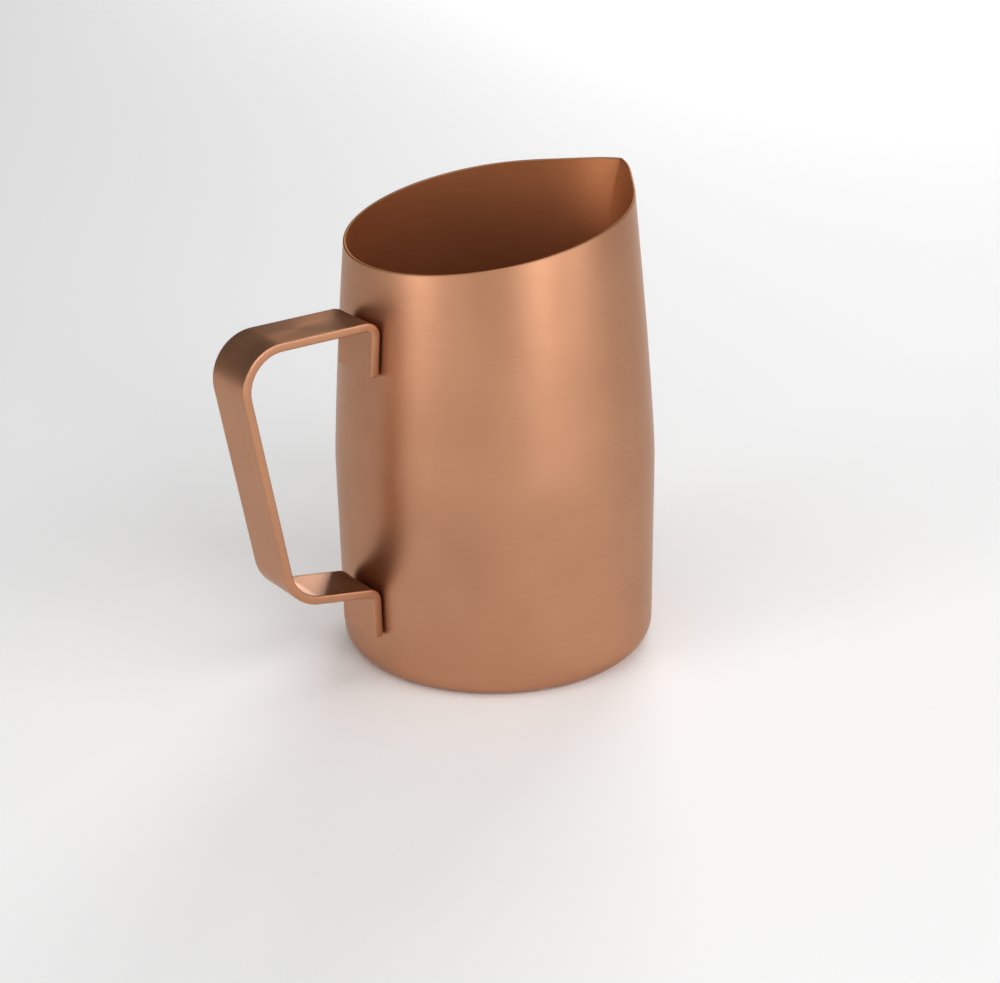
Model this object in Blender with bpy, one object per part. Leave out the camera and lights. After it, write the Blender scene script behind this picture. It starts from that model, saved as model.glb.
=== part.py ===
"""Milk frothing jug: a spun steel vessel with a pouring spout, and a bent strap handle welded to its wall.

Metres, +Z up. The origin is the centre of the base's underside, on the vessel's axis. The spout points
to +X and the handle stands out to -X. Run it in Blender 4.5: blender --background --python part.py
"""

from math import asin, atan2, cos, exp, pi, radians, sin, sqrt, tan

import bmesh
import bpy
from mathutils import Vector

# Vessel: the outer skin's profile, from the base up.
BASE_RADIUS = 0.0427
BASE_CORNER_RADIUS = 0.0058
WAIST_RADIUS = 0.0430
WAIST_HEIGHT = 0.0549
WAIST_LEAN = 0.0593  # how far the wall leans in just above the waist, as a slope
NECK_RADIUS = 0.0378  # where the rim's plane crosses the axis
RIM_HEIGHT = 0.1197  # on the axis
RIM_TILT = radians(9.9)  # rising towards the spout
WALL_THICKNESS = 0.0007

# Spout: how far the wall is pressed outwards at the rim, and how that push fades round and down the wall.
SPOUT_REACH = 0.0061
SPOUT_HALF_WIDTH = 0.29  # angle round the axis, in radians
SPOUT_SHARPNESS = 1.7
SPOUT_CREASE = 0.01  # angle over which the pressed crease is rounded, in radians
SPOUT_DEPTH = 0.0228
SPOUT_FADE = 1.5  # 1 is a straight run down the wall, more is a softer start

# Handle: one strap. Radii are those of the middle of its thickness.
STRAP_WIDTH = 0.0157
STRAP_THICKNESS = 0.0023
STRAP_EDGE_ROUNDING = 0.00035
UPPER_ARM_HEIGHT = 0.0996
LOWER_ARM_HEIGHT = 0.0267  # at the wall
LOWER_ARM_RISE = radians(10.0)  # rising away from the wall
GRIP_REACH = 0.0803  # from the vessel's axis to the grip's line, at the upper arm's height
GRIP_LEAN = radians(9.55)
GRIP_BEND_RADIUS = 0.0105
TAB_BEND_RADIUS = 0.0028
UPPER_TAB_LENGTH = 0.0136
LOWER_TAB_LENGTH = 0.0129

# Joint between strap and wall.
FIT_GAP = 0.0003
WELD_RADIUS = 0.0022
WELD_THICKNESS = 0.0006
WELD_EDGE_MARGIN = 0.00135  # strap left between a weld's pocket and the strap's edge

# Mesh fineness.
CORNER_RINGS = 5
LOWER_WALL_RINGS = 3
UPPER_WALL_RINGS = 12
SPOUT_ZONE = radians(24)
SPOUT_SEGMENTS = 20
BODY_SEGMENTS = 64
STRAP_COLUMNS = 6
TAB_STATIONS = 4
TAB_BEND_STATIONS = 6
GRIP_BEND_STATIONS = 9
WELD_SEGMENTS = 20

COPPER_TONE = (0.400, 0.185, 0.105, 1.0)
BARE_STEEL = (0.420, 0.400, 0.380, 1.0)


def clear_scene():
    for old in list(bpy.data.objects):
        bpy.data.objects.remove(old, do_unlink=True)


def metal(name, colour, roughness):
    material = bpy.data.materials.new(name)
    material.use_nodes = True
    shader = material.node_tree.nodes["Principled BSDF"]
    shader.inputs["Base Color"].default_value = colour
    shader.inputs["Roughness"].default_value = roughness
    shader.inputs["Metallic"].default_value = 1.0
    return material


def object_from(name, mesh_builder, material, parent):
    """A new object holding the bmesh in mesh_builder, shaded smooth up to 35 degrees."""
    mesh = bpy.data.meshes.new(name)
    mesh_builder.to_mesh(mesh)
    mesh_builder.free()
    mesh.shade_smooth()
    mesh.set_sharp_from_angle(angle=radians(35))
    mesh.materials.append(material)
    piece = bpy.data.objects.new(name, mesh)
    piece.parent = parent
    bpy.context.collection.objects.link(piece)
    return piece


# ---------------------------------------------------------------- vessel


def wall_radius(height):
    """The outer wall's radius at a height, without the spout and above the base corner."""
    if height <= WAIST_HEIGHT:
        return BASE_RADIUS + (WAIST_RADIUS - BASE_RADIUS) * height / WAIST_HEIGHT
    above = height - WAIST_HEIGHT
    full = RIM_HEIGHT - WAIST_HEIGHT
    bow = (WAIST_RADIUS - WAIST_LEAN * full - NECK_RADIUS) / full**2
    return WAIST_RADIUS - WAIST_LEAN * above - bow * above**2


def wall_slope(height):
    """How fast the wall leans in at a height."""
    step = 0.0005
    return (wall_radius(height - step) - wall_radius(height + step)) / (2 * step)


def spout_push(angle, below_rim):
    """How far the spout presses the wall outwards, at an angle from +X and a distance below the rim."""
    fade = max(0.0, 1.0 - below_rim / SPOUT_DEPTH) ** SPOUT_FADE
    round_the_crease = sqrt(angle**2 + SPOUT_CREASE**2) - SPOUT_CREASE
    return SPOUT_REACH * fade * exp(-((round_the_crease / SPOUT_HALF_WIDTH) ** SPOUT_SHARPNESS))


def rim_height(angle):
    """The oblique rim's height at an angle: the rim's plane met by the wall, spout included."""
    height = RIM_HEIGHT
    for _ in range(12):
        reach = wall_radius(height) + spout_push(angle, 0.0)
        height = RIM_HEIGHT + reach * cos(angle) * tan(RIM_TILT)
    return height


def vessel_angles():
    """Angles round the axis, closer together across the spout and closest at its crease."""
    steps = [2 * i / SPOUT_SEGMENTS - 1 for i in range(SPOUT_SEGMENTS)]
    spout = [SPOUT_ZONE * step * sqrt(abs(step)) for step in steps]
    rest = 2 * (pi - SPOUT_ZONE)
    return spout + [SPOUT_ZONE + rest * i / BODY_SEGMENTS for i in range(BODY_SEGMENTS)]


def vessel_rings():
    """Each ring of the outer skin as a list of points, from the base's edge to the rim."""
    angles = vessel_angles()
    rings = []
    flat_radius = wall_radius(BASE_CORNER_RADIUS) - BASE_CORNER_RADIUS
    for i in range(CORNER_RINGS + 1):
        turn = pi / 2 * i / CORNER_RINGS
        radius = flat_radius + BASE_CORNER_RADIUS * sin(turn)
        height = BASE_CORNER_RADIUS * (1 - cos(turn))
        rings.append([(radius * cos(a), radius * sin(a), height) for a in angles])
    for i in range(1, LOWER_WALL_RINGS + 1):
        height = BASE_CORNER_RADIUS + (WAIST_HEIGHT - BASE_CORNER_RADIUS) * i / LOWER_WALL_RINGS
        radius = wall_radius(height)
        rings.append([(radius * cos(a), radius * sin(a), height) for a in angles])
    for i in range(1, UPPER_WALL_RINGS + 1):
        # The rings crowd towards the rim, where the spout is.
        share = 1 - (1 - i / UPPER_WALL_RINGS) ** 1.7
        ring = []
        for a in angles:
            rim = rim_height(a)
            height = WAIST_HEIGHT + (rim - WAIST_HEIGHT) * share
            radius = wall_radius(height) + spout_push((a + pi) % (2 * pi) - pi, rim - height)
            ring.append((radius * cos(a), radius * sin(a), height))
        rings.append(ring)
    return rings


def build_vessel(material, parent):
    """The outer skin from base to rim, then its wall thickness inwards."""
    skin = bmesh.new()
    rows = [[skin.verts.new(point) for point in ring] for ring in vessel_rings()]
    skin.faces.new(reversed(rows[0]))
    count = len(rows[0])
    for low, high in zip(rows, rows[1:]):
        for i in range(count):
            j = (i + 1) % count
            skin.faces.new((low[i], low[j], high[j], high[i]))
    vessel = object_from("vessel_body", skin, material, parent)
    wall = vessel.modifiers.new("sheet_thickness", "SOLIDIFY")
    wall.thickness = WALL_THICKNESS
    wall.offset = -1.0
    wall.use_even_offset = True
    return vessel


# ---------------------------------------------------------------- handle


def tab_centre_radius(height):
    """The middle of the strap's thickness where a tab lies against the leaning wall."""
    off_wall = FIT_GAP + STRAP_THICKNESS / 2
    return wall_radius(height) + off_wall * sqrt(1 + wall_slope(height) ** 2)


def strap_corners():
    """The strap's centre line as (reach from the axis, height) corners, from upper tab end to lower."""
    upper_end = UPPER_ARM_HEIGHT - UPPER_TAB_LENGTH
    lower_end = LOWER_ARM_HEIGHT - LOWER_TAB_LENGTH
    lower_root = tab_centre_radius(LOWER_ARM_HEIGHT)
    # The grip's line meets the lower arm's line.
    rise, lean = tan(LOWER_ARM_RISE), tan(GRIP_LEAN)
    drop_from_top = UPPER_ARM_HEIGHT - LOWER_ARM_HEIGHT - rise * (GRIP_REACH - lower_root)
    grip_height = UPPER_ARM_HEIGHT - drop_from_top / (1 - rise * lean)
    grip_foot = (GRIP_REACH - lean * (UPPER_ARM_HEIGHT - grip_height), grip_height)
    return [
        (tab_centre_radius(upper_end), upper_end),
        (tab_centre_radius(UPPER_ARM_HEIGHT), UPPER_ARM_HEIGHT),
        (GRIP_REACH, UPPER_ARM_HEIGHT),
        grip_foot,
        (lower_root, LOWER_ARM_HEIGHT),
        (tab_centre_radius(lower_end), lower_end),
    ]


def rounded_path(corners, bend_radii, bend_stations):
    """The corners joined by straights, with each inner corner turned into an arc."""
    path = [Vector(corners[0])]
    for before, corner, after, radius, stations in zip(
        corners, corners[1:], corners[2:], bend_radii, bend_stations
    ):
        corner = Vector(corner)
        back = (Vector(before) - corner).normalized()
        ahead = (Vector(after) - corner).normalized()
        half = back.angle(ahead) / 2
        centre = corner + (back + ahead).normalized() * radius / sin(half)
        start = corner + back * radius / tan(half) - centre
        end = corner + ahead * radius / tan(half) - centre
        first, last = atan2(start.y, start.x), atan2(end.y, end.x)
        sweep = (last - first + pi) % (2 * pi) - pi
        for i in range(stations + 1):
            turn = first + sweep * i / stations
            path.append(centre + radius * Vector((cos(turn), sin(turn))))
    path.append(Vector(corners[-1]))
    return path


def along_wall(first, last):
    """Points of the strap's centre line along the wall, from one point on it towards another."""
    stations = [first.lerp(last, i / TAB_STATIONS) for i in range(TAB_STATIONS)]
    return [Vector((tab_centre_radius(point.y), point.y)) for point in stations]


def with_tab_stations(path):
    """The path with its first and last straight, the two tabs, laid along the wall."""
    upper = along_wall(path[0], path[1])
    lower = along_wall(path[-1], path[-2])
    return upper + path[1:-1] + lower[::-1]


def tab_share(reach, height):
    """How much of the wall's curve the tabs take: 1 where the strap lies on the wall, 0 past the bend."""
    past = (reach - tab_centre_radius(height)) / TAB_BEND_RADIUS
    return min(1.0, max(0.0, 1.0 - past))


def build_strap(material, parent):
    """The strap's middle surface, its thickness, and its rounded edges."""
    path = with_tab_stations(
        rounded_path(
            strap_corners(),
            (TAB_BEND_RADIUS, GRIP_BEND_RADIUS, GRIP_BEND_RADIUS, TAB_BEND_RADIUS),
            (TAB_BEND_STATIONS, GRIP_BEND_STATIONS, GRIP_BEND_STATIONS, TAB_BEND_STATIONS),
        )
    )
    sheet = bmesh.new()
    rows = []
    for reach, height in path:
        row = []
        for i in range(STRAP_COLUMNS + 1):
            across = STRAP_WIDTH * (i / STRAP_COLUMNS - 0.5)
            hollow = reach - sqrt(reach**2 - across**2)
            row.append(sheet.verts.new((hollow * tab_share(reach, height) - reach, across, height)))
        rows.append(row)
    for one, two in zip(rows, rows[1:]):
        for i in range(STRAP_COLUMNS):
            sheet.faces.new((one[i], one[i + 1], two[i + 1], two[i]))
    strap = object_from("handle_strap", sheet, material, parent)
    thickness = strap.modifiers.new("strap_thickness", "SOLIDIFY")
    thickness.thickness = STRAP_THICKNESS
    thickness.offset = 0.0
    thickness.use_even_offset = True
    edges = strap.modifiers.new("rounded_edges", "BEVEL")
    edges.width = STRAP_EDGE_ROUNDING
    edges.segments = 2
    edges.limit_method = "ANGLE"
    edges.angle_limit = radians(60)
    return strap


# ---------------------------------------------------------------- welds


def weld_place(height, side):
    """A weld's point on the wall and the wall's outward direction there."""
    radius = wall_radius(height)
    off_centre = STRAP_WIDTH / 2 - WELD_EDGE_MARGIN - FIT_GAP - WELD_RADIUS
    angle = pi - side * asin(off_centre / radius)
    outward = Vector((cos(angle), sin(angle), wall_slope(height))).normalized()
    return Vector((radius * cos(angle), radius * sin(angle), height)), outward


def disc(name, radius, thickness, start, outward, material, parent):
    """A short round piece that begins at start and runs outward."""
    shape = bmesh.new()
    bmesh.ops.create_cone(
        shape,
        cap_ends=True,
        segments=WELD_SEGMENTS,
        radius1=radius,
        radius2=radius,
        depth=thickness,
    )
    piece = object_from(name, shape, material, parent)
    piece.location = start + outward * thickness / 2
    piece.rotation_mode = "QUATERNION"
    piece.rotation_quaternion = outward.to_track_quat("Z", "Y")
    return piece


def build_welds(strap, material, parent):
    """Two weld nuggets under each tab, each in a shallow pocket of the strap."""
    tab_heights = {
        "upper": UPPER_ARM_HEIGHT - (UPPER_TAB_LENGTH + TAB_BEND_RADIUS) / 2,
        "lower": LOWER_ARM_HEIGHT - (LOWER_TAB_LENGTH + TAB_BEND_RADIUS) / 2,
    }
    for level, height in tab_heights.items():
        for side_name, side in (("left", -1), ("right", 1)):
            on_wall, outward = weld_place(height, side)
            disc(
                f"weld_{level}_{side_name}",
                WELD_RADIUS,
                WELD_THICKNESS,
                on_wall + outward * FIT_GAP,
                outward,
                material,
                parent,
            )
            pocket = disc(
                f"pocket_{level}_{side_name}",
                WELD_RADIUS + FIT_GAP,
                WELD_THICKNESS + 2 * FIT_GAP,
                on_wall,
                outward,
                material,
                parent,
            )
            pocket.hide_render = True
            pocket.display_type = "WIRE"
            cut = strap.modifiers.new(f"weld_pocket_{level}_{side_name}", "BOOLEAN")
            cut.object = pocket
            cut.operation = "DIFFERENCE"
            cut.solver = "EXACT"


def main():
    clear_scene()
    jug = bpy.data.objects.new("milk_jug", None)
    bpy.context.collection.objects.link(jug)
    coppered = metal("coppered_steel", COPPER_TONE, 0.38)
    bare = metal("bare_steel", BARE_STEEL, 0.45)
    build_vessel(coppered, jug)
    strap = build_strap(coppered, jug)
    build_welds(strap, bare, jug)


main()
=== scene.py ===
"""Looks of a milk frothing jug: copper-toned satin steel, in plain soft studio light.

Metres, +Z up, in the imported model's own frame: the origin is the centre of the base's underside, the
pouring spout points to +X and the handle stands out to -X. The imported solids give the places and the
sizes. The vessel and the strap are modelled again here with a finer surface, and the four weld nuggets
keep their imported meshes.
"""

from __future__ import annotations

import logging
from collections.abc import Callable, Iterable, Iterator
from contextlib import contextmanager
from dataclasses import dataclass, field
from enum import Enum
from math import atan, atan2, cos, exp, hypot, pi, radians, sin, sqrt, tan

import bmesh
import bpy
from mathutils import Matrix, Vector

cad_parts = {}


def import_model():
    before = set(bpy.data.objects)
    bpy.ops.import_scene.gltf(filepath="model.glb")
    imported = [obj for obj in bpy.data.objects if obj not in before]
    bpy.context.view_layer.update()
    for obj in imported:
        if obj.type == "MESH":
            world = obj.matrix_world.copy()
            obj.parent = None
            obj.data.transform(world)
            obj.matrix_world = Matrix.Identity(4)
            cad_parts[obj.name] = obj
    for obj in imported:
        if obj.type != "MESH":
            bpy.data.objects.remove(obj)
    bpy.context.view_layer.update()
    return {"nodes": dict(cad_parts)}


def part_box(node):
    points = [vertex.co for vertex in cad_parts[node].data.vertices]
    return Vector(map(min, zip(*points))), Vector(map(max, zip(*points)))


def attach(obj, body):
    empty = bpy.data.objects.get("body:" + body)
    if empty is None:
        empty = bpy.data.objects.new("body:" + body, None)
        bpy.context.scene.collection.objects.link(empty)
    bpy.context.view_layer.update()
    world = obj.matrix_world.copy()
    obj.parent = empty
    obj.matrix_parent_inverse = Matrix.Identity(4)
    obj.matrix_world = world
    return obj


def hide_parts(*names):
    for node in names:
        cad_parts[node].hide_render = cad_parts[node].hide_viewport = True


LOG = logging.getLogger("milk_jug")

BODY = "root"
WELD_NODES = ("weld_upper_left", "weld_upper_right", "weld_lower_left", "weld_lower_right")
MILLIMETRE = 0.001
# Vertices that would move less than this stay where they are.
NO_MOVE = 0.002 * MILLIMETRE
# Places that are closer than this are the same one, and rings that are closer in height the same ring.
SAME_PLACE = 0.001 * MILLIMETRE
SAME_RING = 0.01 * MILLIMETRE
# Rounds in which a height that depends on itself settles: the rim's, and a vertex's as it is pressed out.
RIM_ROUNDS = 12
PRESS_ROUNDS = 6


# ---------------------------------------------------------------- modelling bench


def deselect_everything() -> None:
    """Leaves nothing selected, so that the next tool works on what is chosen after it."""
    bpy.ops.object.select_all(action="DESELECT")


@contextmanager
def edit_mode(piece: bpy.types.Object) -> Iterator[None]:
    """Opens one piece in edit mode, alone, and closes it again.

    Args:
        piece: The mesh object to edit.
    """
    deselect_everything()
    piece.select_set(True)
    bpy.context.view_layer.objects.active = piece
    bpy.ops.object.mode_set(mode="EDIT")
    bpy.ops.mesh.select_mode(type="VERT")
    try:
        yield
    finally:
        bpy.ops.object.mode_set(mode="OBJECT")


def choose(piece: bpy.types.Object, wanted: Callable[[Vector], bool]) -> None:
    """Selects the vertices of the piece in edit mode whose place is wanted, and nothing else.

    Args:
        piece: The mesh object that is open in edit mode.
        wanted: Tells for a vertex's place whether it is chosen.
    """
    mesh = bmesh.from_edit_mesh(piece.data)
    for vertex in mesh.verts:
        vertex.select = False
    mesh.select_flush(False)
    for vertex in mesh.verts:
        if wanted(vertex.co):
            vertex.select = True
    mesh.select_flush(True)
    bmesh.update_edit_mesh(piece.data)


def choose_numbered(piece: bpy.types.Object, numbers: Iterable[int]) -> None:
    """Selects the vertices with these numbers, and nothing else.

    Args:
        piece: The mesh object that is open in edit mode.
        numbers: The vertices' places in the mesh's own order.
    """
    mesh = bmesh.from_edit_mesh(piece.data)
    mesh.verts.ensure_lookup_table()
    for vertex in mesh.verts:
        vertex.select = False
    mesh.select_flush(False)
    for number in numbers:
        mesh.verts[number].select = True
    mesh.select_flush(True)
    bmesh.update_edit_mesh(piece.data)


def extrude(step: Vector) -> None:
    """Extrudes what is selected and moves the new end by a step, which stays selected."""
    bpy.ops.mesh.extrude_region_move(TRANSFORM_OT_translate={"value": tuple(step)})


def apply_modifiers(piece: bpy.types.Object) -> None:
    """Applies every modifier of the piece, in order."""
    deselect_everything()
    piece.select_set(True)
    bpy.context.view_layer.objects.active = piece
    for modifier in list(piece.modifiers):
        bpy.ops.object.modifier_apply(modifier=modifier.name)


def shade_by_angle(piece: bpy.types.Object, angle: float) -> None:
    """Shades the piece smooth, apart from edges that are sharper than an angle in radians."""
    deselect_everything()
    piece.select_set(True)
    bpy.context.view_layer.objects.active = piece
    bpy.ops.object.shade_smooth_by_angle(angle=angle)


def add_subdivision(piece: bpy.types.Object, levels: int) -> None:
    """Adds a Subdivision Surface modifier that shows the same levels everywhere."""
    modifier = piece.modifiers.new("fine_surface", "SUBSURF")
    modifier.levels = levels
    modifier.render_levels = levels


def add_edge_rounding(piece: bpy.types.Object, width: float, segments: int, sharper_than: float) -> None:
    """Adds a Bevel modifier that rounds the edges sharper than an angle.

    Args:
        piece: The mesh object.
        width: How far the rounding reaches from the edge.
        segments: How many faces the rounding has.
        sharper_than: The angle in radians past which an edge is rounded.
    """
    modifier = piece.modifiers.new("edge_rounding", "BEVEL")
    modifier.width = width
    modifier.segments = segments
    modifier.limit_method = "ANGLE"
    modifier.angle_limit = sharper_than
    modifier.use_clamp_overlap = True


# ---------------------------------------------------------------- finishes


class Brushing(Enum):
    """The way that the brush lines run on a piece: how fast they change along X, Y and Z."""

    ROUND_THE_BODY = (0.012, 0.012, 1.0)
    ALONG_THE_STRAP = (0.012, 1.0, 0.012)


class NodeBoard:
    """A material's node tree, with short ways to add and wire its nodes."""

    def __init__(self, name: str) -> None:
        """Starts a material with its Principled shader and nothing else."""
        self.material = bpy.data.materials.new(name)
        self.material.use_nodes = True
        self.tree = self.material.node_tree
        self.shader = self.tree.nodes["Principled BSDF"]

    def add(self, kind: str, **settings: object) -> bpy.types.Node:
        """Adds a node.

        Args:
            kind: The node's type, such as ShaderNodeMix.
            **settings: Values of the node's own properties.

        Returns:
            The new node.
        """
        node = self.tree.nodes.new(kind)
        for name, value in settings.items():
            setattr(node, name, value)
        return node

    def wire(self, source: bpy.types.NodeSocket, target: bpy.types.NodeSocket) -> None:
        """Wires an output to an input."""
        self.tree.links.new(source, target)

    def place_on_piece(self) -> bpy.types.NodeSocket:
        """The place on the piece in metres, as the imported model's own coordinates."""
        return self.add("ShaderNodeTexCoord").outputs["Object"]

    def noise(
        self,
        place: bpy.types.NodeSocket,
        per_metre: tuple[float, float, float],
        detail: float,
        roughness: float = 0.5,
    ) -> bpy.types.NodeSocket:
        """Adds a noise pattern on the piece.

        Args:
            place: The coordinates that it reads.
            per_metre: How many times the pattern changes in a metre, along each axis.
            detail: How many finer layers it has.
            roughness: How strong the finer layers are.

        Returns:
            The pattern's value, from 0 to 1.
        """
        scaling = self.add("ShaderNodeMapping", vector_type="POINT")
        scaling.inputs["Scale"].default_value = per_metre
        self.wire(place, scaling.inputs["Vector"])
        noise = self.add("ShaderNodeTexNoise", noise_dimensions="3D")
        noise.inputs["Scale"].default_value = 1.0
        noise.inputs["Detail"].default_value = detail
        noise.inputs["Roughness"].default_value = roughness
        self.wire(scaling.outputs["Vector"], noise.inputs["Vector"])
        return noise.outputs["Fac"]

    def remap(
        self,
        value: bpy.types.NodeSocket,
        source: tuple[float, float],
        target: tuple[float, float],
        smooth: bool = False,
    ) -> bpy.types.NodeSocket:
        """Maps one range of a value to another.

        Args:
            value: The value.
            source: The range that it is read from.
            target: The range that it is given.
            smooth: Whether the change eases in and out.

        Returns:
            The mapped value.
        """
        node = self.add(
            "ShaderNodeMapRange", interpolation_type="SMOOTHSTEP" if smooth else "LINEAR", clamp=True
        )
        for socket, number in zip(("From Min", "From Max", "To Min", "To Max"), (*source, *target)):
            node.inputs[socket].default_value = number
        self.wire(value, node.inputs["Value"])
        return node.outputs["Result"]

    def sum_of(
        self, operation: str, first: bpy.types.NodeSocket, second: bpy.types.NodeSocket | float
    ) -> bpy.types.NodeSocket:
        """Joins two values by a Math operation, such as ADD or MULTIPLY.

        Args:
            operation: The Math node's operation.
            first: The first value.
            second: The second value, or a plain number.

        Returns:
            The result.
        """
        node = self.add("ShaderNodeMath", operation=operation)
        self.wire(first, node.inputs[0])
        if isinstance(second, bpy.types.NodeSocket):
            self.wire(second, node.inputs[1])
        else:
            node.inputs[1].default_value = second
        return node.outputs["Value"]

    def mix_of(
        self, first: bpy.types.NodeSocket, second: bpy.types.NodeSocket, share: float
    ) -> bpy.types.NodeSocket:
        """Mixes two values.

        Args:
            first: The first value.
            second: The second value.
            share: How much of the second shows, from 0 to 1.

        Returns:
            The mixed value.
        """
        kept = self.sum_of("MULTIPLY", first, 1.0 - share)
        return self.sum_of("ADD", kept, self.sum_of("MULTIPLY", second, share))

    def blend(
        self,
        share: bpy.types.NodeSocket,
        first: bpy.types.NodeSocket | tuple[float, float, float],
        second: bpy.types.NodeSocket | tuple[float, float, float],
    ) -> bpy.types.NodeSocket:
        """Blends two colours.

        Args:
            share: How much of the second shows, from 0 to 1.
            first: The first colour.
            second: The second colour.

        Returns:
            The blended colour.
        """
        node = self.add("ShaderNodeMix", data_type="RGBA")
        self.wire(share, node.inputs["Factor"])
        for socket, colour in ((node.inputs[6], first), (node.inputs[7], second)):
            if isinstance(colour, bpy.types.NodeSocket):
                self.wire(colour, socket)
            else:
                socket.default_value = (*colour, 1.0)
        return node.outputs[2]

    def relief(self, height: bpy.types.NodeSocket, distance: float, strength: float = 1.0) -> None:
        """Makes the shader's surface bumpy.

        Args:
            height: The bumps' height, from 0 to 1.
            distance: How high a bump of 1 is.
            strength: How much of the bumps shows.
        """
        bump = self.add("ShaderNodeBump")
        bump.inputs["Strength"].default_value = strength
        bump.inputs["Distance"].default_value = distance
        self.wire(height, bump.inputs["Height"])
        self.wire(bump.outputs["Normal"], self.shader.inputs["Normal"])


# A piece's mask of worn edges whose colour is partly painted light, built on its board from its
# coordinates: 1 on an edge, 0 off it.
WearAndPaintedLightMask = Callable[[NodeBoard, bpy.types.NodeSocket], bpy.types.NodeSocket]


@dataclass(frozen=True)
class CopperSatin:
    """Copper-toned steel under a thin clear lacquer: fine brush lines, slow mottling, worn edges whose
    colour is partly painted light.

    The lines are a fine pattern with a broader one mixed in, and the colour follows the lines and the
    mottling together.
    """

    name: str
    brushing: Brushing
    tone: tuple[float, float, float] = (0.505, 0.240, 0.126)
    deep_tone: tuple[float, float, float] = (0.465, 0.214, 0.111)
    # The edges' colour, a little paler and lighter than the tone: a painted highlight along the strap's
    # rounded edges, on top of wear.
    worn_and_painted_light_tone: tuple[float, float, float] = (0.50, 0.25, 0.14)
    glancing_tint: tuple[float, float, float] = (0.75, 0.58, 0.46)
    roughness: float = 0.37
    roughness_spread: float = 0.025
    worn_roughness: float = 0.40
    lines_per_metre: float = 6500.0
    line_depth: float = 0.000003
    line_strength: float = 0.35
    broad_lines: float = 0.22
    broad_share: float = 0.4
    mottling_per_metre: float = 60.0
    mottling_share: float = 0.6
    colour_range: tuple[float, float] = (0.36, 0.62)
    roughness_range: tuple[float, float] = (0.3, 0.7)
    anisotropy: float = 0.35
    lacquer: float = 0.6
    lacquer_roughness: float = 0.30

    def material(self, wear_and_painted_light: WearAndPaintedLightMask) -> bpy.types.Material:
        """Makes the material.

        Args:
            wear_and_painted_light: Builds the mask of the piece's worn edges.

        Returns:
            The new material.
        """
        board = NodeBoard(self.name)
        place = board.place_on_piece()
        fine = board.noise(place, self._lines_at(1.0), detail=2.0, roughness=0.6)
        broad = board.noise(place, self._lines_at(self.broad_lines), detail=2.0)
        mottling = board.noise(place, (self.mottling_per_metre,) * 3, detail=3.0)
        lines = board.mix_of(fine, broad, self.broad_share)
        edge = wear_and_painted_light(board, place)

        streaked = board.mix_of(lines, mottling, self.mottling_share)
        share = board.remap(streaked, self.colour_range, (0.0, 1.0))
        colour = board.blend(share, self.deep_tone, self.tone)
        # The edges take their own colour, part wear and part painted light: a painted highlight along the
        # strap's edges, painted shade on the rim's lip.
        board.wire(board.blend(edge, colour, self.worn_and_painted_light_tone), board.shader.inputs["Base Color"])

        dullest, shiniest = self.roughness + self.roughness_spread, self.roughness - self.roughness_spread
        satin = board.remap(lines, self.roughness_range, (dullest, shiniest))
        drop = board.sum_of("MULTIPLY", edge, self.roughness - self.worn_roughness)
        board.wire(board.sum_of("SUBTRACT", satin, drop), board.shader.inputs["Roughness"])
        board.relief(lines, self.line_depth, self.line_strength)

        board.shader.inputs["Metallic"].default_value = 1.0
        board.shader.inputs["Anisotropic"].default_value = self.anisotropy
        board.shader.inputs["Specular Tint"].default_value = (*self.glancing_tint, 1.0)
        board.wire(board.remap(edge, (0.0, 1.0), (self.lacquer, 0.0)), board.shader.inputs["Coat Weight"])
        board.shader.inputs["Coat Roughness"].default_value = self.lacquer_roughness
        return board.material

    def _lines_at(self, scale: float) -> tuple[float, float, float]:
        """How many brush lines there are in a metre along each axis, at a scale of the fine pattern."""
        along_x, along_y, along_z = self.brushing.value
        rate = scale * self.lines_per_metre
        return rate * along_x, rate * along_y, rate * along_z


@dataclass(frozen=True)
class FusedSteel:
    """Bare steel that was melted and set again: grey, uneven, with a straw-coloured heat tint."""

    name: str = "fused_weld_steel"
    tone: tuple[float, float, float] = (0.42, 0.40, 0.38)
    heat_tint: tuple[float, float, float] = (0.45, 0.33, 0.20)
    roughness: tuple[float, float] = (0.38, 0.62)
    grain_per_metre: float = 2600.0
    grain_height: float = 0.00004
    grain_range: tuple[float, float] = (0.3, 0.7)
    tint_per_metre: float = 650.0
    tint_range: tuple[float, float] = (0.4, 0.65)

    def material(self) -> bpy.types.Material:
        """Makes the material."""
        board = NodeBoard(self.name)
        place = board.place_on_piece()
        grain = board.noise(place, (self.grain_per_metre,) * 3, detail=4.0, roughness=0.6)
        tint = board.noise(place, (self.tint_per_metre,) * 3, detail=1.0)
        colour = board.blend(board.remap(tint, self.tint_range, (0.0, 1.0)), self.tone, self.heat_tint)
        board.wire(colour, board.shader.inputs["Base Color"])
        board.wire(board.remap(grain, self.grain_range, self.roughness), board.shader.inputs["Roughness"])
        board.relief(grain, self.grain_height)
        board.shader.inputs["Metallic"].default_value = 1.0
        return board.material


# ---------------------------------------------------------------- vessel


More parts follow.
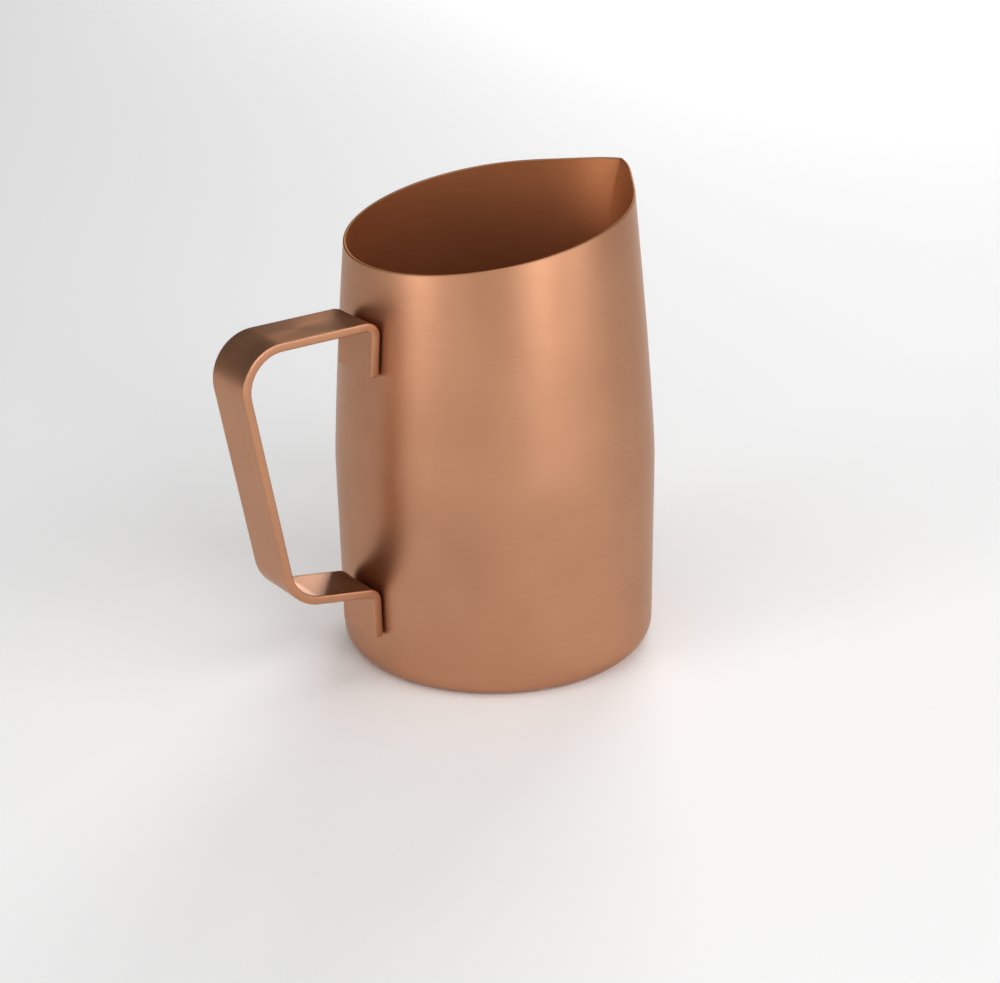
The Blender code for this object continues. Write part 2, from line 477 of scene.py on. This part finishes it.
@dataclass
class Vessel:
    """The jug's one-piece shell: flat base, soft corner, lower wall, waist, slanted rim and spout."""

    waist_radius: float
    base_radius: float = 0.0427
    corner_radius: float = 0.0058
    waist_height: float = 0.0549
    waist_lean: float = 0.0593
    neck_radius: float = 0.0378
    rim_height: float = 0.1197
    rim_tilt: float = radians(9.9)
    wall: float = 0.0007
    rim_rounding: float = 0.00025
    spout_reach: float = 0.0056
    spout_half_width: float = 0.309
    spout_sharpness: float = 1.78
    spout_pinch: float = 0.0011
    spout_pinch_width: float = 0.1
    spout_depth: float = 0.0228
    spout_fade: float = 1.5
    columns: int = 192
    base_rings: int = 4
    corner_rings: int = 8
    lower_rings: int = 6
    upper_rings: int = 18
    ring_crowding: float = 1.6
    rounding_steps: int = 3
    lip_angle: float = radians(60)
    smooth_up_to: float = radians(40)
    # How far below the rim the lip's wear and its painted shade fade out.
    rim_wear_and_shade_depths: tuple[float, float] = (0.0002, 0.00055)
    finish: CopperSatin = CopperSatin(
        "copper_satin_body",
        Brushing.ROUND_THE_BODY,
        # The lip's darker colour is painted shade that dims the lip's reflection; its duller, unlacquered
        # surface is wear.
        worn_and_painted_light_tone=(0.38, 0.18, 0.095),
        worn_roughness=0.5,
    )
    inside_finish_and_painted_shade: CopperSatin = CopperSatin(
        "copper_matt_inside_painted_shade",
        Brushing.ROUND_THE_BODY,
        # The inside's deeper, redder copper is painted shade: the same metal as the outside, tinted for
        # the dim light bounced round the hollow. Its roughness and its thinner, rougher lacquer make it
        # matt.
        tone=(0.555, 0.215, 0.086),
        deep_tone=(0.505, 0.190, 0.073),
        # The lip's darker colour is painted shade here too, dimming its reflection.
        worn_and_painted_light_tone=(0.38, 0.18, 0.095),
        worn_roughness=0.58,
        roughness=0.63,
        lacquer=0.3,
        lacquer_roughness=0.5,
    )

    @classmethod
    def from_frame(cls) -> Vessel:
        """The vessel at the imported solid's size, whose waist is the widest place."""
        _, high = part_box("vessel_body")
        return cls(waist_radius=high.x)

    def radius_at(self, height: float) -> float:
        """The outer wall's radius at a height, without the spout.

        Args:
            height: Height above the base's underside.

        Returns:
            The radius from the vessel's axis.
        """
        if height <= self.waist_height:
            return self.base_radius + (self.waist_radius - self.base_radius) * height / self.waist_height
        above = height - self.waist_height
        full = self.rim_height - self.waist_height
        bow = (self.waist_radius - self.waist_lean * full - self.neck_radius) / full**2
        return self.waist_radius - self.waist_lean * above - bow * above**2

    def lean_at(self, height: float) -> float:
        """How fast the wall leans in at a height, as a slope."""
        step = 0.5 * MILLIMETRE
        return (self.radius_at(height - step) - self.radius_at(height + step)) / (2 * step)

    def push_at(self, angle: float, below_rim: float) -> float:
        """How far the spout is pressed out of the wall.

        Args:
            angle: Angle round the axis from the spout's middle.
            below_rim: Distance below the rim.

        Returns:
            The distance that the wall moves away from the axis.
        """
        fade = max(0.0, 1.0 - below_rim / self.spout_depth) ** self.spout_fade
        off_crease = abs(angle)
        bulge = self.spout_reach * exp(-((off_crease / self.spout_half_width) ** self.spout_sharpness))
        pinch = self.spout_pinch * exp(-off_crease / self.spout_pinch_width)
        return fade * (bulge + pinch)

    def rim_at(self, angle: float) -> float:
        """The slanted rim's height.

        Args:
            angle: Angle round the axis from the spout's middle.

        Returns:
            The height at which the rim's plane meets the wall, spout included.
        """
        height = self.rim_height
        for _ in range(RIM_ROUNDS):
            reach = self.radius_at(height) + self.push_at(angle, 0.0)
            height = self.rim_height + reach * cos(angle) * tan(self.rim_tilt)
        return height

    def build(self) -> bpy.types.Object:
        """Models the shell.

        Returns:
            The finished mesh object.
        """
        shell = self._base_disc()
        for finish in (self.finish, self.inside_finish_and_painted_shade):
            shell.data.materials.append(finish.material(self._rim_wear_and_painted_shade))
        with edit_mode(shell):
            self._turn_corner(shell)
            heights = self._raise_wall()
            rings = self._rings_above_waist(shell, heights)
            self._tilt_rings(shell, heights, rings)
            self._press_spout(shell, heights, rings)
            self._crease_spout(shell)
        add_subdivision(shell, 1)
        sheet = shell.modifiers.new("sheet_thickness", "SOLIDIFY")
        sheet.thickness = self.wall
        sheet.offset = -1.0
        sheet.use_even_offset = True
        sheet.material_offset = 1
        add_edge_rounding(shell, self.rim_rounding, self.rounding_steps, self.lip_angle)
        apply_modifiers(shell)
        shade_by_angle(shell, self.smooth_up_to)
        return shell

    def dress(self, shell: bpy.types.Object) -> None:
        """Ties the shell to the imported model."""
        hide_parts("vessel_body")
        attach(shell, BODY)

    def _base_disc(self) -> bpy.types.Object:
        """The flat base: a filled circle that faces down, with rings of faces round its middle point."""
        flat_radius = self.radius_at(self.corner_radius) - self.corner_radius
        deselect_everything()
        bpy.ops.mesh.primitive_circle_add(vertices=self.columns, radius=flat_radius, fill_type="NGON")
        disc = bpy.context.active_object
        disc.name = "jug_shell"
        disc.data.name = "jug_shell"
        with edit_mode(disc):
            bpy.ops.mesh.select_all(action="SELECT")
            bpy.ops.mesh.flip_normals()
            for _ in range(self.base_rings):
                bpy.ops.mesh.inset(thickness=flat_radius / (self.base_rings + 1))
            bpy.ops.mesh.poke()
        return disc

    def _turn_corner(self, shell: bpy.types.Object) -> None:
        """Carries the disc's edge round the base corner."""
        flat_radius = self.radius_at(self.corner_radius) - self.corner_radius
        choose(shell, lambda place: hypot(place.x, place.y) > flat_radius - SAME_RING)
        radius, height = flat_radius, 0.0
        for i in range(1, self.corner_rings + 1):
            turn = pi / 2 * i / self.corner_rings
            new_radius = flat_radius + self.corner_radius * sin(turn)
            new_height = self.corner_radius * (1 - cos(turn))
            self._next_ring(new_height - height, new_radius / radius)
            radius, height = new_radius, new_height

    def _raise_wall(self) -> list[float]:
        """Carries the edge up the wall as level rings.

        Returns:
            The heights of the rings above the waist.
        """
        height = self.corner_radius
        radius = self.radius_at(height)
        lower = [
            self.corner_radius + (self.waist_height - self.corner_radius) * i / self.lower_rings
            for i in range(1, self.lower_rings + 1)
        ]
        # The rings crowd towards the rim, where the spout is.
        full = self.rim_height - self.waist_height
        upper = [
            self.waist_height + full * (1 - (1 - i / self.upper_rings) ** self.ring_crowding)
            for i in range(1, self.upper_rings + 1)
        ]
        for new_height in lower + upper:
            new_radius = self.radius_at(new_height)
            self._next_ring(new_height - height, new_radius / radius)
            radius, height = new_radius, new_height
        return upper

    @staticmethod
    def _next_ring(rise: float, growth: float) -> None:
        """Extrudes the selected ring upwards and scales it about the axis."""
        extrude(Vector((0, 0, rise)))
        bpy.ops.transform.resize(value=(growth, growth, 1.0), center_override=(0, 0, 0))

    @staticmethod
    def _rings_above_waist(shell: bpy.types.Object, heights: list[float]) -> list[list[int]]:
        """The numbers of the vertices of each level ring, one list for each height."""
        mesh = bmesh.from_edit_mesh(shell.data)
        return [[v.index for v in mesh.verts if abs(v.co.z - height) < SAME_RING] for height in heights]

    def _ring_slope(self, height: float) -> float:
        """How steeply a ring slants, from level at the waist to the rim's own slant."""
        share = (height - self.waist_height) / (self.rim_height - self.waist_height)
        return share * tan(self.rim_tilt)

    def _tilt_rings(self, shell: bpy.types.Object, heights: list[float], rings: list[list[int]]) -> None:
        """Slants each ring along the wall, so that the last one is the slanted rim."""
        for height, ring in zip(heights, rings):
            slope = self._ring_slope(height)
            middle = (0, 0, height)
            stretch = sqrt(1 + slope**2)
            choose_numbered(shell, ring)
            bpy.ops.transform.rotate(
                value=atan(slope), orient_axis="Y", orient_type="GLOBAL", center_override=middle
            )
            bpy.ops.transform.resize(value=(stretch, 1.0, stretch), center_override=middle)
            # A leaning wall is narrower on the ring's high side, which shifts the slanted ring back.
            back = self.radius_at(height) * self.lean_at(height) * slope
            bpy.ops.transform.translate(value=(-back, 0, -back * slope))

    def _press_spout(self, shell: bpy.types.Object, heights: list[float], rings: list[list[int]]) -> None:
        """Presses the spout out of the wall, column by column, each ring staying in its own plane."""
        places = [v.co.copy() for v in bmesh.from_edit_mesh(shell.data).verts]
        for height, ring in zip(heights, rings):
            slope = self._ring_slope(height)
            for number in ring:
                place = places[number]
                angle = atan2(place.y, place.x)
                rim = self.rim_at(angle)
                narrowing = 1 - self.lean_at(place.z) * slope * cos(angle)
                out = 0.0
                # The vertex rises as it moves out along its slanted ring, nearer to the rim.
                for _ in range(PRESS_ROUNDS):
                    rise = out * cos(angle) * slope
                    out = self.push_at(angle, rim - place.z - rise) * narrowing
                if out > NO_MOVE:
                    choose_numbered(shell, [number])
                    bpy.ops.transform.translate(value=(out * cos(angle), out * sin(angle), rise))

    def _crease_spout(self, shell: bpy.types.Object) -> None:
        """Keeps the spout's middle line crisp when the surface is subdivided."""
        lowest = self.rim_height - self.spout_depth
        choose(shell, lambda place: place.x > 0 and abs(place.y) < SAME_PLACE and place.z > lowest)
        bpy.ops.transform.edge_crease(value=1.0)

    def _rim_wear_and_painted_shade(self, board: NodeBoard, place: bpy.types.NodeSocket) -> bpy.types.NodeSocket:
        """The mask of the lip's wear and painted shade: 1 in the rim's plane, fading below it."""
        parts = board.add("ShaderNodeSeparateXYZ")
        board.wire(place, parts.inputs["Vector"])
        plane = board.sum_of("MULTIPLY", parts.outputs["X"], tan(self.rim_tilt))
        below = board.sum_of("SUBTRACT", board.sum_of("ADD", plane, self.rim_height), parts.outputs["Z"])
        return board.remap(below, self.rim_wear_and_shade_depths[::-1], (0.0, 1.0), smooth=True)


# ---------------------------------------------------------------- handle


@dataclass
class StrapHandle:
    """The handle: one flat strap bent into an open loop, its two tabs pressed to the vessel's wall."""

    vessel: Vessel
    width: float = 0.0157
    grip_reach: float = 0.0803
    thickness: float = 0.0023
    edge_radius: float = 0.00035
    gap: float = 0.0003
    upper_arm_height: float = 0.0996
    lower_arm_height: float = 0.0267
    lower_arm_rise: float = radians(10.0)
    grip_lean: float = radians(9.55)
    grip_bend_radius: float = 0.0105
    tab_bend_radius: float = 0.0028
    upper_tab_length: float = 0.0136
    lower_tab_length: float = 0.0129
    tab_curl: float = 0.5
    weld_radius: float = 0.0022
    weld_pocket_depth: float = 0.0012
    # How far in from the strap's long edges its wear and painted highlight fade, and how strongly they
    # show.
    edge_wear_and_highlight_depths: tuple[float, float] = (0.0001, 0.0006)
    edge_wear_and_highlight: float = 0.3
    columns: int = 12
    layers: int = 2
    grip_bend_steps: int = 20
    tab_bend_steps: int = 12
    edge_steps: int = 4
    edge_angle: float = radians(60)
    pocket_sides: int = 48
    smooth_up_to: float = radians(35)
    finish: CopperSatin = CopperSatin("copper_satin_strap", Brushing.ALONG_THE_STRAP, roughness=0.40)

    def tab_reach(self, height: float) -> float:
        """The middle of the strap's thickness, from the vessel's axis, where a tab lies on the wall."""
        off_wall = self.gap + self.thickness / 2
        return self.vessel.radius_at(height) + off_wall * sqrt(1 + self.vessel.lean_at(height) ** 2)

    def corners(self) -> list[Vector]:
        """The corners of the strap's middle line in the X-Z plane, from the upper tab's end down."""
        upper_end = self.upper_arm_height - self.upper_tab_length
        lower_end = self.lower_arm_height - self.lower_tab_length
        lower_root = self.tab_reach(self.lower_arm_height)
        # The grip's line meets the lower arm's line.
        rise, lean = tan(self.lower_arm_rise), tan(self.grip_lean)
        drop = self.upper_arm_height - self.lower_arm_height - rise * (self.grip_reach - lower_root)
        foot_height = self.upper_arm_height - drop / (1 - rise * lean)
        foot_reach = self.grip_reach - lean * (self.upper_arm_height - foot_height)
        return [
            Vector((-self.tab_reach(upper_end), 0, upper_end)),
            Vector((-self.tab_reach(self.upper_arm_height), 0, self.upper_arm_height)),
            Vector((-self.grip_reach, 0, self.upper_arm_height)),
            Vector((-foot_reach, 0, foot_height)),
            Vector((-lower_root, 0, self.lower_arm_height)),
            Vector((-self.tab_reach(lower_end), 0, lower_end)),
        ]

    def build(self) -> bpy.types.Object:
        """Models the strap.

        Returns:
            The finished mesh object.
        """
        corners = self.corners()
        radii = (self.tab_bend_radius, self.grip_bend_radius, self.grip_bend_radius, self.tab_bend_radius)
        steps = (self.tab_bend_steps, self.grip_bend_steps, self.grip_bend_steps, self.tab_bend_steps)
        strap = self._end_face(corners[0], (corners[1] - corners[0]).normalized())
        with edit_mode(strap):
            bpy.ops.mesh.select_all(action="SELECT")
            at = corners[0]
            for i, (radius, step) in enumerate(zip(radii, steps)):
                at = self._straight_then_bend(at, *corners[i : i + 3], radius, step)
            extrude(corners[-1] - at)
            bpy.ops.mesh.select_all(action="SELECT")
            bpy.ops.mesh.remove_doubles(threshold=SAME_PLACE)
            bpy.ops.mesh.normals_make_consistent(inside=False)
            self._press_tabs(strap)
            bpy.ops.mesh.select_all(action="DESELECT")
            bpy.ops.mesh.select_mode(type="EDGE")
            bpy.ops.mesh.edges_select_sharp(sharpness=self.edge_angle)
            bpy.ops.mesh.bevel(
                offset=self.edge_radius, offset_type="OFFSET", segments=self.edge_steps, affect="EDGES"
            )
        for node in WELD_NODES:
            self._cut_weld_pocket(strap, node)
        shade_by_angle(strap, self.smooth_up_to)
        return strap

    def dress(self, strap: bpy.types.Object) -> None:
        """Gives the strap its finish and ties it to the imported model."""
        strap.data.materials.append(self.finish.material(self._edge_wear_and_painted_highlight))
        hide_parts("handle_strap")
        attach(strap, BODY)

    def _end_face(self, place: Vector, ahead: Vector) -> bpy.types.Object:
        """The strap's cross-section at the upper tab's end, facing away from the strap.

        Args:
            place: The middle of the section.
            ahead: The direction in which the strap leaves it.

        Returns:
            The mesh object.
        """
        deselect_everything()
        bpy.ops.mesh.primitive_grid_add(
            x_subdivisions=self.layers, y_subdivisions=self.columns, size=1.0
        )
        face = bpy.context.active_object
        face.name = "handle"
        face.data.name = "handle"
        turn = -atan2(ahead.x, ahead.z)
        with edit_mode(face):
            bpy.ops.mesh.select_all(action="SELECT")
            bpy.ops.transform.resize(value=(self.thickness, self.width, 1.0), center_override=(0, 0, 0))
            bpy.ops.transform.rotate(
                value=turn, orient_axis="Y", orient_type="GLOBAL", center_override=(0, 0, 0)
            )
            bpy.ops.transform.translate(value=tuple(place))
        return face

    @staticmethod
    def _straight_then_bend(
        at: Vector, before: Vector, corner: Vector, after: Vector, radius: float, steps: int
    ) -> Vector:
        """Extrudes the strap straight to where a bend starts, and spins it round the bend.

        Args:
            at: Where the strap's end is now.
            before: The corner before this one.
            corner: The corner that the bend rounds.
            after: The corner after it.
            radius: The bend's radius at the middle of the strap.
            steps: How many steps the bend has.

        Returns:
            Where the strap's end is after the bend.
        """
        back = (before - corner).normalized()
        ahead = (after - corner).normalized()
        half = back.angle(ahead) / 2
        centre = corner + (back + ahead).normalized() * radius / sin(half)
        start = corner + back * radius / tan(half)
        end = corner + ahead * radius / tan(half)
        extrude(start - at)
        turn = (end - centre).cross(start - centre)
        bpy.ops.mesh.spin(
            steps=steps,
            angle=(start - centre).angle(end - centre),
            center=tuple(centre),
            axis=tuple(turn.normalized()),
        )
        return end

    def _press_tabs(self, strap: bpy.types.Object) -> None:
        """Curls both tabs part of the way to the round wall, easing off where the strap leaves it."""
        places = [v.co.copy() for v in bmesh.from_edit_mesh(strap.data).verts]
        # Vertices whose moves agree to a thousandth of a millimetre are moved together.
        moves: dict[float, list[int]] = {}
        for number, place in enumerate(places):
            reach = -place.x
            past = (reach - self.tab_reach(place.z)) / self.tab_bend_radius
            share = self.tab_curl * min(1.0, max(0.0, 1.0 - past))
            hollow = (reach - sqrt(reach**2 - place.y**2)) * share
            if hollow > NO_MOVE:
                moves.setdefault(round(hollow, 6), []).append(number)
        for hollow, numbers in moves.items():
            choose_numbered(strap, numbers)
            bpy.ops.transform.translate(value=(hollow, 0, 0))

    def _cut_weld_pocket(self, strap: bpy.types.Object, node: str) -> None:
        """Sinks the shallow pocket in which one weld nugget sits.

        Args:
            strap: The strap.
            node: The nugget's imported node.
        """
        low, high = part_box(node)
        middle = (low + high) / 2
        outward = Vector((middle.x, middle.y, 0)).normalized()
        outward.z = self.vessel.lean_at(middle.z)
        outward.normalize()
        deselect_everything()
        bpy.ops.mesh.primitive_cylinder_add(
            vertices=self.pocket_sides, radius=self.weld_radius + self.gap, depth=self.weld_pocket_depth
        )
        cutter = bpy.context.active_object
        turned = outward.to_track_quat("Z", "Y").to_matrix().to_4x4()
        cutter.data.transform(Matrix.Translation(middle) @ turned)
        cut = strap.modifiers.new("weld_pocket", "BOOLEAN")
        cut.object = cutter
        cut.operation = "DIFFERENCE"
        cut.solver = "EXACT"
        apply_modifiers(strap)
        bpy.data.objects.remove(cutter, do_unlink=True)

    def _edge_wear_and_painted_highlight(self, board: NodeBoard, place: bpy.types.NodeSocket) -> bpy.types.NodeSocket:
        """The mask of the strap's worn long edges, which also carry a painted highlight, strongest at the
        edge and fading inwards.
        """
        parts = board.add("ShaderNodeSeparateXYZ")
        board.wire(place, parts.inputs["Vector"])
        aside = board.sum_of("ABSOLUTE", parts.outputs["Y"], 0.0)
        full, none = (self.width / 2 - depth for depth in self.edge_wear_and_highlight_depths)
        return board.remap(aside, (none, full), (0.0, self.edge_wear_and_highlight), smooth=True)


# ---------------------------------------------------------------- welds


@dataclass
class WeldNuggets:
    """The four fused spots between strap and wall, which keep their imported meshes."""

    nodes: tuple[str, ...] = WELD_NODES
    finish: FusedSteel = FusedSteel()

    def dress(self, packed: dict[str, bpy.types.Object]) -> None:
        """Gives the nuggets their finish.

        Args:
            packed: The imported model's objects by node name.
        """
        metal = self.finish.material()
        for node in self.nodes:
            packed[node].data.materials.clear()
            packed[node].data.materials.append(metal)
            LOG.info("%s keeps its packed mesh", node)


# ---------------------------------------------------------------- studio


def direction(azimuth: float, elevation: float) -> Vector:
    """The direction from the jug at two angles in radians, the azimuth turning from -Y towards +X."""
    return Vector((sin(azimuth) * cos(elevation), -cos(azimuth) * cos(elevation), sin(elevation)))


@dataclass(frozen=True)
class Softbox:
    """A soft rectangular lamp that looks at the jug, from two angles given in degrees."""

    name: str
    azimuth: float
    elevation: float
    width: float
    height: float
    power: float
    distance: float = 1.8


@dataclass
class Studio:
    """A white floor, soft lamps, and the camera that looks down on the jug past its handle."""

    aim: Vector = field(default_factory=lambda: Vector((0, 0, 0.0645)))
    camera_azimuth: float = radians(-35.306)
    camera_elevation: float = radians(22.649)
    camera_roll: float = radians(-1.045)
    camera_distance: float = 0.5781
    aside: float = -0.00152
    above: float = 0.02107
    lens: float = 77.51
    ambient: float = 0.14
    floor_size: float = 6.0
    floor_tone: tuple[float, float, float] = (0.93, 0.93, 0.93)
    floor_roughness: float = 0.7
    lamps: tuple[Softbox, ...] = (
        Softbox("back_box", 130, 17, 0.9, 1.3, 17.5),
        Softbox("front_box", -30, 34, 0.7, 0.95, 7.3),
        Softbox("right_low_box", 0, 8, 0.6, 0.9, 7.8),
        Softbox("right_high_box", 0, 34, 0.7, 0.9, 6.0),
        Softbox("far_right_box", 30, 20, 0.7, 1.6, 9.4),
        Softbox("left_low_box", -90, 8, 0.6, 0.9, 10.0),
        Softbox("left_high_box", -90, 55, 0.9, 0.9, 3.2),
        Softbox("left_front_box", -60, 20, 0.7, 1.6, 3.3),
        Softbox("top_box", 0, 88, 1.2, 1.2, 4.8),
    )

    def build(self) -> None:
        """Sets up the floor, the light and the camera."""
        self._floor()
        self._world()
        for lamp in self.lamps:
            self._lamp(lamp)
        self._camera()

    def _floor(self) -> None:
        """A large white floor at the height of the base."""
        deselect_everything()
        bpy.ops.mesh.primitive_plane_add(size=self.floor_size, location=(0, 0, 0))
        floor = bpy.context.active_object
        floor.name = "floor"
        board = NodeBoard("white_floor")
        board.shader.inputs["Base Color"].default_value = (*self.floor_tone, 1.0)
        board.shader.inputs["Roughness"].default_value = self.floor_roughness
        floor.data.materials.append(board.material)

    def _world(self) -> None:
        """An even white surround."""
        world = bpy.data.worlds.new("surround")
        world.use_nodes = True
        background = world.node_tree.nodes["Background"]
        background.inputs["Color"].default_value = (1.0, 1.0, 1.0, 1.0)
        background.inputs["Strength"].default_value = self.ambient
        bpy.context.scene.world = world
        bpy.context.scene.view_settings.view_transform = "Standard"

    def _lamp(self, lamp: Softbox) -> None:
        """Hangs one softbox, facing the jug."""
        out = direction(radians(lamp.azimuth), radians(lamp.elevation))
        light = bpy.data.lights.new(lamp.name, "AREA")
        light.shape = "RECTANGLE"
        light.size = lamp.width
        light.size_y = lamp.height
        light.energy = lamp.power
        hung = bpy.data.objects.new(lamp.name, light)
        hung.location = self.aim + out * lamp.distance
        hung.rotation_euler = out.to_track_quat("Z", "Y").to_euler()
        bpy.context.scene.collection.objects.link(hung)

    def _camera(self) -> None:
        """Places the camera at its angle round the jug."""
        back = direction(self.camera_azimuth, self.camera_elevation)
        level = Vector((cos(self.camera_azimuth), sin(self.camera_azimuth), 0))
        upright = back.cross(level)
        right = cos(self.camera_roll) * level + sin(self.camera_roll) * upright
        up = -sin(self.camera_roll) * level + cos(self.camera_roll) * upright
        lens = bpy.data.cameras.new("camera")
        lens.lens = self.lens
        camera = bpy.data.objects.new("camera", lens)
        place = self.aim - self.aside * right - self.above * up + self.camera_distance * back
        camera.matrix_world = Matrix.Translation(place) @ Matrix((right, up, back)).transposed().to_4x4()
        bpy.context.scene.collection.objects.link(camera)
        bpy.context.scene.camera = camera


# ---------------------------------------------------------------- assembly


def report(piece: bpy.types.Object) -> None:
    """Logs one finished piece with its number of faces."""
    LOG.info("%s: %d faces", piece.name, len(piece.data.polygons))


def main() -> None:
    """Builds the jug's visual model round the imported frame, then the studio."""
    logging.basicConfig(level=logging.INFO, format="%(name)s: %(message)s")
    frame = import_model()

    vessel = Vessel.from_frame()
    shell = vessel.build()
    vessel.dress(shell)
    report(shell)

    handle = StrapHandle(vessel)
    strap = handle.build()
    handle.dress(strap)
    report(strap)

    WeldNuggets().dress(frame["nodes"])

    Studio().build()


if __name__ == "__main__":
    main()
